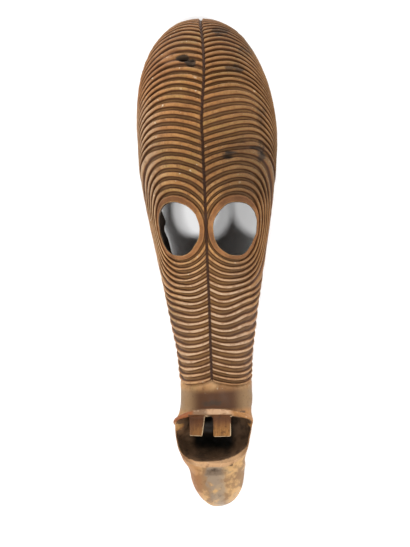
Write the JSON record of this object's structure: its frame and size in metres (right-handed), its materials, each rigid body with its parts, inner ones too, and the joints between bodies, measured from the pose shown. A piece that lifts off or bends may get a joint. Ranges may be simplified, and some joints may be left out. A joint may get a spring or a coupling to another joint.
{
  "type": "kifwebe mask",
  "caption": "Long hollow carved wooden face mask with curved ribs, open eye holes and mouth, square upper teeth and a nub chin, lying on its open back.",
  "frame": {"origin": "on the surface the mask lies on, in the middle of its length and its width", "axes": "+Z out of the face, +Y to the top of the head, +X to the viewer's right"},
  "size_m": [0.1966, 0.7, 0.1099],
  "materials": {
    "carved_wood": "worn, semi-matt brown wood, with tan ridges, dark grooves and pale rubbed edges"
  },
  "bodies": {
    "root": {"carved_mask": "carved_wood"}
  },
  "joints": []
}
